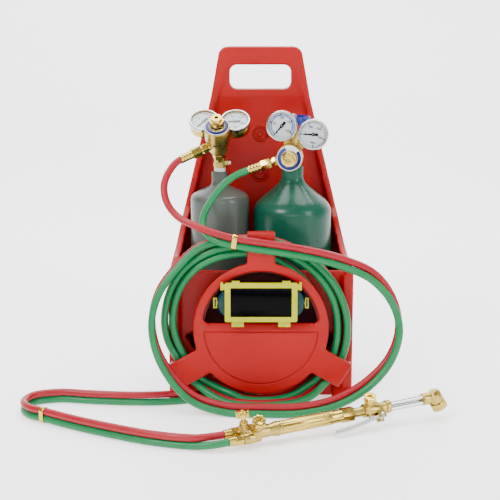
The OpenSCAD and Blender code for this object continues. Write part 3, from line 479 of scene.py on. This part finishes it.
def moulded(name, node, voxel, passes, material):
    """A moulded skin over a CAD node: its own shape with soft, rounded edges."""
    copy = add_object(name + "_source", nodes[node].data.copy())
    remesh = copy.modifiers.new("remesh", "REMESH")
    remesh.mode = "VOXEL"
    remesh.voxel_size = voxel * MM
    remesh.use_smooth_shade = True
    smooth = copy.modifiers.new("smooth", "SMOOTH")
    smooth.factor = 0.5
    smooth.iterations = passes
    bpy.context.view_layer.update()
    graph = bpy.context.evaluated_depsgraph_get()
    mesh = bpy.data.meshes.new_from_object(copy.evaluated_get(graph))
    bpy.data.objects.remove(copy)
    mesh.name = name
    mesh.shade_smooth()
    link(name, mesh, material, "kit", (node,))


def neighbours(points, i):
    """The points before and after point i, or the point itself at an end."""
    return points[max(i - 1, 0)], points[min(i + 1, len(points) - 1)]


# ------------------------------------------------------------------ hoses
# Radius of a hose in m, and the distance between the pair's centres and the reel's plane in mm
HOSE_R = 0.006
PITCH = 12.2
REEL_Y = -100
# Each point of the joined hoses is x, y, z in mm and the angle in degrees, from +Y towards +Z,
# at which the red hose lies from the green one
LOOP = [(-46, -129.5, 276, 90), (-20, -131.8, 272, 90), (12, -132, 267.5, 90),
        (70, -133, 258, 88), (130, -139, 244, 75), (182, -148, 221, 57), (212, -157, 183, 35),
        (222, -163, 142, 22), (210, -170, 96, 30), (176, -179, 56, 44), (125, -187, 26, 50),
        (70, -190, 12.6, 48), (0, -190.5, 11, 46), (-62, -184, 12, 45), (-112, -171, 26, 42),
        (-150, -156, 62, 34), (-172, -145, 104, 25), (-178, -136, 146, 15), (-167, -127, 190, 20),
        (-138, -116, 230, 15), (-100, -104, 262, 3), (-62, -100, 272, 0)]
RUN = [(-45, -94, 6.2, 0), (-72, -94, 6.4, 0), (-100, -103, 7, 5), (-117, -113, 8.4, 20),
       (-134, -122, 10.3, 42), (-152, -128, 11.7, 63), (-172, -132, 12.2, 82),
       (-225, -132, 12.2, 90), (-285, -125, 12.2, 90), (-340, -118, 12.2, 90),
       (-376, -134, 12.2, 90), (-386, -166, 12.2, 90), (-371, -198, 12.6, 90),
       (-346, -217, 13.6, 90), (-290, -252, 12.2, 90), (-225, -290, 12.2, 90),
       (-165, -320, 12.5, 90), (-118, -335, 12.7, 90)]
# Each hose on its own: from its regulator to the first clip, and from the run's end to the torch
OXYGEN_LEAD = [(-13, -48.3, 383.4), (-22, -47.6, 380.1), (-44, -51, 371), (-66, -62, 354),
               (-83, -74, 332), (-94, -87, 312), (-95, -101, 295), (-85, -115, 282.5),
               (-68, -125, 274.5)]
ACETYLENE_LEAD = [(-127, -44.7, 400.6), (-135.5, -48.8, 397), (-151, -62, 381), (-159, -77, 359),
                  (-155, -89, 336), (-138, -101, 314), (-110, -114, 300.5), (-78, -123.5, 290)]
OXYGEN_TAIL = [(-95.5, -341.8, 8), (-72.5, -345.5, 11.2), (-54.3, -343.4, 13.6),
               (-46, -340.2, 14.2)]
ACETYLENE_TAIL = [(-98, -337, 18.6), (-78, -332.3, 18.9), (-61.4, -325.7, 19),
                  (-53.4, -322.3, 19.3)]


def on_reel(turns):
    """Points on the reel from (angle, radius) round its centre."""
    return [(radius * math.cos(math.radians(angle)), REEL_Y,
             REEL_HEIGHT + radius * math.sin(math.radians(angle)), 0) for angle, radius in turns]


# From the loop's end clockwise round the reel, passing under it close to the floor each time
COIL = (on_reel([(98, 149), (82, 145), (66, 141), (48, 139), (30, 140.5), (13, 142), (-4, 144),
                 (-20, 145.5), (-34, 146)])
        + [(105, -106, 29.5, 0), (84, -116, 13, 0), (58, -132, 7.2, 0), (24, -144, 6.3, 0),
           (-16, -147, 6.3, 0), (-50, -138, 7.4, 0), (-74, -123.5, 12.5, 0),
           (-94, -111, 21.5, 0), (-114, -102.5, 36, 0)]
        + on_reel([(210, 147.4), (201, 149.4), (192, 155), (182, 159), (166, 161), (152, 161),
                   (138, 158), (123, 150.5), (107, 141), (90, 134.5), (73, 130), (56, 127.5),
                   (38, 127), (20, 127.5), (2, 127), (-15, 128.5), (-32, 130.5), (-46, 129.5)])
        + [(74, -101.5, 23.5, 0), (55, -106, 12.6, 0), (36, -111.5, 7.4, 0), (2, -120, 6.4, 0),
           (-30, -118.5, 8.6, 0), (-48, -113.5, 15.6, 0), (-64, -106, 20, 0),
           (-82, -101, 28, 0), (-101, -100, 40, 0)]
        + on_reel([(210, 135), (201, 136.6), (191, 141), (180, 145), (166, 147), (152, 148),
                   (138, 145), (123, 137.5), (107, 129), (90, 121.5), (73, 113), (56, 107),
                   (38, 104.5), (20, 104), (2, 104), (-15, 104), (-32, 104), (-49, 104),
                   (-64, 104.5), (-79, 107)])
        + [(-2, -97, 15.5, 0), (-24, -94.5, 8.8, 0)])


def strand(route, side):
    """Centreline of one hose of the pair: side is -1 for green and 1 for red."""
    made = []
    for i, (x, y, z, turn) in enumerate(route):
        before, after = neighbours(route, i)
        along = (Vector(after[:3]) - Vector(before[:3])).normalized()
        across = Vector((0, math.cos(math.radians(turn)), math.sin(math.radians(turn))))
        across = (across - along * across.dot(along)).normalized()
        made.append(Vector((x, y, z)) + across * side * PITCH / 2)
    return made


def hose(name, points, material, stands_for, samples=12):
    """One smooth curve through the points, closed at its ends; also its start and length."""
    curve = bpy.data.curves.new(name, "CURVE")
    curve.dimensions = "3D"
    curve.bevel_depth = HOSE_R
    curve.bevel_resolution = 5
    curve.resolution_u = 8
    curve.use_fill_caps = True
    spline = curve.splines.new("BEZIER")
    spline.bezier_points.add(len(points) - 1)
    points = [Vector(p) * MM for p in points]
    for i, knot in enumerate(spline.bezier_points):
        before, after = neighbours(points, i)
        back, on = points[i] - before, after - points[i]
        along = back + on
        if back.length and on.length:
            along = back.normalized() * on.length + on.normalized() * back.length
        along.normalize()
        knot.handle_left_type = knot.handle_right_type = "FREE"
        knot.co = points[i]
        knot.handle_left = points[i] - along * back.length / 3
        knot.handle_right = points[i] + along * on.length / 3
    length = 0
    for one, two in zip(spline.bezier_points, spline.bezier_points[1:]):
        line = interpolate_bezier(one.co, one.handle_right, two.handle_left, two.co, samples)
        length += sum((b - a).length for a, b in zip(line, line[1:]))
    return link(name, curve, material, "kit", stands_for), points[0], length


green_points = OXYGEN_LEAD + strand(LOOP, -1) + strand(COIL, -1) + strand(RUN, -1) + OXYGEN_TAIL
red_points = ACETYLENE_LEAD + strand(LOOP, 1) + strand(COIL, 1) + strand(RUN, 1) + ACETYLENE_TAIL
green_hose, green_exit, green_length = hose("green_hose", green_points, green_rubber,
                                            ("oxygen_hose", "oxygen_hose_coil"))
red_hose, red_exit, red_length = hose("red_hose", red_points, red_rubber,
                                      ("acetylene_hose", "acetylene_hose_coil"))

# ------------------------------------------------------------------ tote, reel and cylinders
# Voxel sizes are in mm
moulded("tote_body", "tote_shell", voxel=2.4, passes=6, material=red_plastic)
moulded("retainer_plate", "hose_retainer", voxel=1.5, passes=30, material=grooved_red)
# The cup's darkened red is painted shade for the inside of the pocket
moulded("reel_cup", "storage_cup", voxel=1.6, passes=3, material=painted_shade_red_plastic)

# Each profile goes up from the foot: the body, the shoulder and the neck
oxygen_profile = (rounded([(0, 14, 0), (54, 14, 4), (66.5, 26, 9), (66.5, 296, 0)])
                  + flowing([(66.5, 298), (65.9, 305), (63.8, 311.5), (60.6, 316.5),
                             (56.2, 321.5), (47.8, 328.5), (36.3, 338), (25.8, 347.5),
                             (20.9, 353.5), (18.6, 359)])
                  + rounded([(18.6, 361, 0), (18.6, 379.8, 1.6), (10, 379.8, 0)]))
acetylene_profile = (rounded([(0, 14, 0), (42, 14, 3), (49.9, 22, 6), (49.9, 317, 0)])
                     + flowing([(49.9, 319), (49.5, 324), (48.1, 328), (44.9, 331.5),
                                (36.9, 336), (25.9, 341), (18.4, 345), (14.9, 348.5),
                                (14, 353)])
                     + rounded([(14, 355, 0), (14, 369.8, 1.2), (8.6, 369.8, 0)]))
link("oxygen_cylinder_body", lathe(oxygen_profile, OXYGEN_AXIS, "oxygen_cylinder_body"),
     green_enamel, "kit", ("oxygen_cylinder",))
link("acetylene_cylinder_body",
     lathe(acetylene_profile, ACETYLENE_AXIS, "acetylene_cylinder_body"),
     grey_enamel, "kit", ("acetylene_cylinder",))

# ------------------------------------------------------------------ pieces with their CAD shape
# Material, width of the rounded edges in mm, their segments, and the nodes
DRESSED = (
    (cast_brass, 0.6, 3, ("oxygen_cylinder_valve", "acetylene_cylinder_valve", "regulator_bodies",
                          "regulator_bonnets", "gauge_stems", "torch_valve_block",
                          "cutting_body", "cutting_head")),
    (turned_brass, 0.5, 2, ("gauge_cases", "torch_handle")),
    (turned_brass, 0.5, 3, ("oxygen_adjusting_screw", "acetylene_adjusting_screw", "inlet_nuts",
                            "outlet_bushings", "hose_nuts", "hose_ferrules",
                            "torch_packing_nuts", "torch_coupling_nut", "tip_nut")),
    (bright_brass, 0.6, 3, ("torch_oxygen_knob", "torch_acetylene_knob", "cutting_oxygen_knob")),
    (bright_brass, 0.3, 2, ("hose_clips",)),
    (copper, 0.3, 2, ("cutting_tip",)),
    (chrome, 0.2, 2, ("gauge_bezels",)),
    (chrome, 0.4, 3, ("cutting_lever",)),
    (chrome, 0, 0, ("cutting_tubes",)),
    (steel, 0.3, 2, ("handwheel_nut", "acetylene_valve_spindle", "lever_pin", "lever_plunger")),
    (steel, 0.2, 2, ("reel_screws",)),
    (steel, 0, 0, ("regulator_springs", "lever_spring")),
    (black_rubber, 0.6, 2, ("cylinder_pads",)),
    (black_rubber, 0.2, 2, ("regulator_diaphragms",)),
    (blue_enamel, 1.1, 3, ("oxygen_handwheel",)),
    (white_tape, 0.3, 2, ("thread_tape",)),
    (white_dial, 0, 0, ("gauge_dials",)),
    (gauge_glass, 0, 0, ("gauge_lenses",)),
    (dial_ink, 0, 0, ("oxygen_supply_pointer", "oxygen_delivery_pointer",
                      "acetylene_supply_pointer", "acetylene_delivery_pointer")),
    (label_paper, 0, 0, ("regulator_labels",)),
    (yellow_plastic, 0.6, 3, ("goggle_frame",)),
    (yellow_plastic, 0.8, 3, ("goggle_lift_frame",)),
    (black_lens, 0.3, 2, ("goggle_dark_lens",)),
    (clear_lens, 0, 0, ("goggle_clear_lens",)),
)
for material, edge, edge_segments, names in DRESSED:
    for name in names:
        dress(name, material, edge, edge_segments)


# ------------------------------------------------------------------ dials and labels
def turned(*pairs):
    """Product of rotations given as (axis, degrees) pairs."""
    made = Matrix.Identity(4)
    for axis, degrees in pairs:
        made = made @ Matrix.Rotation(math.radians(degrees), 4, axis)
    return made


def moved(x, y, z):
    """Translation in mm."""
    return Matrix.Translation(Vector((x, y, z)) * MM)


# Height of each valve's outlet and distance from its axis to the bonnet's front, in mm
OXYGEN_OUTLET, OXYGEN_REACH = 406, 101
ACETYLENE_OUTLET, ACETYLENE_REACH = 385, 84
# Frames at the bonnets' fronts, with Z out along the adjusting screws
oxygen_regulator = (moved(*OXYGEN_AXIS, OXYGEN_OUTLET) @ turned(("Z", -5), ("X", 90))
                    @ moved(0, 0, OXYGEN_REACH) @ turned(("Z", -15)))
acetylene_regulator = (moved(*ACETYLENE_AXIS, ACETYLENE_OUTLET) @ turned(("Z", -3.5), ("X", 37))
                       @ moved(0, 0, ACETYLENE_REACH))

# Angle in degrees from a regulator's middle to each of its gauges
GAUGE_SPREAD = 31
# Distance of a gauge's centre from the regulator's axis, and its front's from the bonnet's, in mm
GAUGE_REACH, GAUGE_FACE = 51.5, -26
# Depth of a dial's print in the gauge's frame, and of its band below the rest of it, in mm
DIAL_PRINT, BAND_PRINT = -4.12, -0.03
# Radii in mm of the marks' outer ends, the scale's line, the coloured band and the numbers
DIAL_EDGE = 21.6
SCALE_LINE = (21.3, 21.7)
BAND = (16.8, 18.6)
NUMBERS_ACROSS, NUMBERS_UP = 12.9, 13.6
# Heights in mm of numbers of up to three digits and of longer ones
NUMBER_SIZE, LONG_NUMBER_SIZE = 5.4, 4.3
# Angle in degrees that the scale covers, and its steps from one number to the next
SWEEP = 270
STEPS_PER_NUMBER = 10
# Length in mm and half width in degrees of the marks at, halfway between and among the numbers
LONG_MARK, MIDDLE_MARK, SHORT_MARK = (4.8, 2.0), (3.6, 1.3), (2.4, 0.8)
# Height in mm of a label's print, radii in mm of its band and ticks, and the angles they cover
LABEL_PRINT = 0.56
LABEL_BAND, LABEL_TICKS = (13.6, 19.3), (19.5, 20.0)
LABEL_START, LABEL_END, TICK_EVERY, TICK_WIDTH = 125, 415, 9, 3


def gauge_place(regulator, side):
    """Frame of a regulator's gauge: side is 1 for supply and -1 for delivery."""
    return (regulator @ turned(("Z", -side * GAUGE_SPREAD)) @ moved(0, GAUGE_REACH, GAUGE_FACE)
            @ turned(("Z", side * GAUGE_SPREAD)))


def sector(bm, inner, outer, start, end, height=0.0, steps=1):
    """Flat piece of a ring, in mm and degrees."""
    rim = []
    for k in range(steps + 1):
        a = math.radians(start + (end - start) * k / steps)
        rim.append([bm.verts.new(Vector((r * math.cos(a), r * math.sin(a), height)) * MM)
                    for r in (inner, outer)])
    for one, two in zip(rim, rim[1:]):
        bm.faces.new((one[0], one[1], two[1], two[0]))


def numeral(bm, words, size, place):
    """Adds flat numerals, centred at place, in mm."""
    text = bpy.data.curves.new("numeral", "FONT")
    text.body = words
    text.size = size * MM
    text.offset = 0.12 * MM
    text.align_x = "CENTER"
    text.align_y = "CENTER"
    maker = add_object("numeral", text)
    bpy.context.view_layer.update()
    graph = bpy.context.evaluated_depsgraph_get()
    flat = bpy.data.meshes.new_from_object(maker.evaluated_get(graph))
    flat.transform(Matrix.Translation(Vector((*place, 0)) * MM))
    bm.from_mesh(flat)
    bpy.data.objects.remove(maker)
    bpy.data.meshes.remove(flat)


def printed(name, build, material, matrix):
    """Flat print, made by build in an empty mesh."""
    bm = bmesh.new()
    build(bm)
    mesh = bpy.data.meshes.new(name)
    bm.to_mesh(mesh)
    bm.free()
    link(name, mesh, material, "kit", matrix=matrix)


def dial(name, matrix, start, numbers, band=None):
    """Scale that runs clockwise from the pointer's rest, with its numbers and a coloured band."""
    last = len(numbers) - 1
    steps = last * STEPS_PER_NUMBER

    def scale(bm):
        for k in range(steps + 1):
            long, wide = SHORT_MARK
            if k % STEPS_PER_NUMBER == 0:
                long, wide = LONG_MARK
            elif k % (STEPS_PER_NUMBER // 2) == 0:
                long, wide = MIDDLE_MARK
            a = start - SWEEP * k / steps
            sector(bm, DIAL_EDGE - long, DIAL_EDGE, a - wide, a + wide)
        sector(bm, *SCALE_LINE, start - SWEEP, start, steps=60)
        for k, words in enumerate(numbers):
            a = math.radians(start - SWEEP * k / last)
            size = NUMBER_SIZE if len(words) < 4 else LONG_NUMBER_SIZE
            numeral(bm, words, size, (NUMBERS_ACROSS * math.cos(a), NUMBERS_UP * math.sin(a)))

    face = matrix @ moved(0, 0, DIAL_PRINT)
    printed(name + "_marks", scale, dial_ink, face)
    if band:
        colour, low, high = band
        printed(name + "_band", lambda bm: sector(bm, *BAND, start - SWEEP * high,
                                                  start - SWEEP * low, BAND_PRINT, 24),
                colour, face)


dial("oxygen_supply_dial", gauge_place(oxygen_regulator, 1), 193,
     ("0", "1000", "2000", "3000", "4000"))
dial("oxygen_delivery_dial", gauge_place(oxygen_regulator, -1), 245,
     ("0", "50", "100", "150", "200"), (blue_ink, 0.0, 1.0))
dial("acetylene_supply_dial", gauge_place(acetylene_regulator, 1), 184,
     ("0", "100", "200", "300", "400"))
dial("acetylene_delivery_dial", gauge_place(acetylene_regulator, -1), 232,
     ("0", "10", "20", "30"), (red_ink, 0.5, 1.0))


def label_band(bm):
    """The coloured arc on a bonnet's label."""
    sector(bm, *LABEL_BAND, LABEL_START, LABEL_END, steps=72)


def label_ticks(bm):
    """Short marks round the arc."""
    for a in range(LABEL_START + 5, LABEL_END - TICK_WIDTH, TICK_EVERY):
        sector(bm, *LABEL_TICKS, a, a + TICK_WIDTH)


for gas, regulator in (("oxygen", oxygen_regulator), ("acetylene", acetylene_regulator)):
    top = regulator @ moved(0, 0, LABEL_PRINT)
    printed(gas + "_label_arc", label_band, label_arc, top)
    printed(gas + "_label_ticks", label_ticks, dial_ink, top)

# ------------------------------------------------------------------ goggles
GOGGLES = moved(0, -141, 177.5) @ turned(("X", 90))
# Height of the cup's and the strap's middle in the goggles' own frame, in mm
GOGGLE_MIDDLE = -5
# The cup's outline at no inset, and the most by which an inset takes off its height, in mm
CUP_WIDTH, CUP_HEIGHT, CUP_CORNER = 142, 50, 22
CUP_LIMIT = 6
# (inset, z) of the cup's sections, from the window's lip over the front and sides to the face
CUP_SECTIONS = [(24, -15.5), (22.5, -12.2), (10, -11.6), (4, -11.4), (1.6, -12.6), (0.4, -14.8),
                (0, -18), (0.6, -24), (2.4, -30), (3.4, -36), (2.6, -42), (0.8, -46), (0, -50),
                (0.6, -53.4), (3, -53.6), (4.2, -50)]
# (x, z) of the folded strap: through one loop, round behind the cup and to the other loop
STRAP_PATH = [(-75.2, -16), (-75.4, -26), (-75.0, -36), (-75.4, -46), (-75.0, -55), (-73.5, -59),
              (-70, -61), (-60, -60.6), (-45, -61.4), (-28, -60.4), (-10, -61.4), (10, -60.4),
              (28, -61.3), (45, -60.5), (60, -61.2), (70, -60.8), (73.5, -59), (75.0, -55),
              (75.3, -46), (75.0, -36), (75.4, -26), (75.2, -16)]
# Half of the strap's thickness and width, in mm
STRAP_THIN, STRAP_WIDE = 0.8, 6.4


def cup_ring(inset, z, per_corner=10):
    """Section of the cup: a rounded rectangle smaller on each side by the inset."""
    short_inset = min(inset, CUP_LIMIT)
    width = CUP_WIDTH - 2 * inset * (1 if inset < CUP_LIMIT else 0.95)
    height = CUP_HEIGHT - 2 * short_inset
    corner = CUP_CORNER - short_inset * 0.8
    made = []
    for quarter, (sx, sy) in enumerate(((1, 1), (-1, 1), (-1, -1), (1, -1))):
        for k in range(per_corner + 1):
            a = math.radians(90 * quarter + 90 * k / per_corner)
            x = sx * (width / 2 - corner) + corner * math.cos(a)
            y = GOGGLE_MIDDLE + sy * (height / 2 - corner) + corner * math.sin(a)
            made.append(GOGGLES @ (Vector((x, y, z)) * MM))
    return made


def eased(value, power):
    """Pushes a sine or cosine towards its extremes, which squares a circle's corners."""
    return math.copysign(abs(value) ** power, value)


def strap_ring(i, count=12):
    """Section of the strap at one point of its path."""
    x, z = STRAP_PATH[i]
    before, after = neighbours(STRAP_PATH, i)
    along = Vector((after[0] - before[0], after[1] - before[1])).normalized()
    out = Vector((-along.y, along.x)) * STRAP_THIN
    made = []
    for k in range(count):
        a = 2 * math.pi * k / count
        side, lift = eased(math.cos(a), 0.4), eased(math.sin(a), 0.6)
        made.append(GOGGLES @ (Vector((x + out.x * side, GOGGLE_MIDDLE + STRAP_WIDE * lift,
                                       z + out.y * side)) * MM))
    return made


cup_shell = loft([cup_ring(inset, z) for inset, z in CUP_SECTIONS], "goggle_cup_shell", cap=False)
link("goggle_cup_shell", cup_shell, teal_vinyl, "goggles", ("goggle_cup",))
strap_band = loft([strap_ring(i) for i in range(len(STRAP_PATH))], "goggle_strap_band")
link("goggle_strap_band", strap_band, black_elastic, "goggles",
     ("goggle_strap",))


# ------------------------------------------------------------------ studio
def stage_material():
    """Near-white floor that glows a little, so it stays even up to the backdrop."""
    n = Nodes("studio_floor")
    cloud = n.noise(0.8, 2)
    n.colour(n.ramp(cloud, (0.3, (0.90, 0.90, 0.90)), (0.7, (0.93, 0.93, 0.93))))
    n.rough(n.spread(n.noise(30, 3), 0.42, 0.55))
    n.set(Emission_Color=(1, 1, 1, 1), Emission_Strength=0.9)
    return n.material


def stage_sweep(front=-4, bend=1.6, bend_radius=0.8, top=4.5, half_width=5, drop=0.0001):
    profile = [(front, 0), (bend, 0)]
    for a in range(9, 91, 9):
        profile.append((bend + bend_radius * math.sin(math.radians(a)),
                        bend_radius - bend_radius * math.cos(math.radians(a))))
    profile.append((bend + bend_radius, top))
    points = [(x, y, z - drop) for x in (-half_width, half_width) for y, z in profile]
    count = len(profile)
    faces = [(i, i + 1, count + i + 1, count + i) for i in range(count - 1)]
    floor = add_object("studio_sweep", mesh_of(points, faces, "studio_sweep"))
    floor.data.materials.append(stage_material())


def area_light(name, place, aim, size, power):
    """Soft light at a place in m, turned towards its aim."""
    light = bpy.data.lights.new(name, "AREA")
    light.shape = "RECTANGLE"
    light.size, light.size_y = size
    light.energy = power
    lamp = add_object(name, light)
    lamp.location = place
    lamp.rotation_euler = facing(place, aim)


def studio_world():
    """Surroundings for reflections: grey up to the horizon, white from 30 degrees above it."""
    world = bpy.data.worlds.new("studio")
    world.use_nodes = True
    tree = world.node_tree
    background = tree.nodes["Background"]
    background.inputs["Strength"].default_value = 0.62
    coords = tree.nodes.new("ShaderNodeTexCoord")
    apart = tree.nodes.new("ShaderNodeSeparateXYZ")
    shift = tree.nodes.new("ShaderNodeMath")
    shift.operation = "MULTIPLY_ADD"
    shift.inputs[1].default_value = 0.5
    shift.inputs[2].default_value = 0.5
    sky = tree.nodes.new("ShaderNodeValToRGB")
    stops = ((0.5, (0.2, 0.2, 0.21, 1)), (0.75, (1, 1, 1, 1)))
    for element, (place, colour) in zip(sky.color_ramp.elements, stops):
        element.position = place
        element.color = colour
    tree.links.new(coords.outputs["Generated"], apart.inputs[0])
    tree.links.new(apart.outputs["Z"], shift.inputs[0])
    tree.links.new(shift.outputs[0], sky.inputs["Fac"])
    tree.links.new(sky.outputs["Color"], background.inputs["Color"])
    bpy.context.scene.world = world


stage_sweep()
area_light("key", (-1.5, -1.7, 2.1), (0, 0, 0.25), (1.1, 1.1), 78)
area_light("fill", (1.9, -1.6, 1.1), (0, 0, 0.25), (0.8, 1.5), 36)
area_light("top", (0, 0.1, 2.4), (0, 0, 0.2), (2.0, 1.0), 50)
area_light("front", (0, -3.0, 0.9), (0, 0, 0.25), (2.4, 0.5), 26)
area_light("backdrop_light", (0, 0.9, 2.6), (0, 2.4, 0.9), (3.6, 0.6), 110)
studio_world()
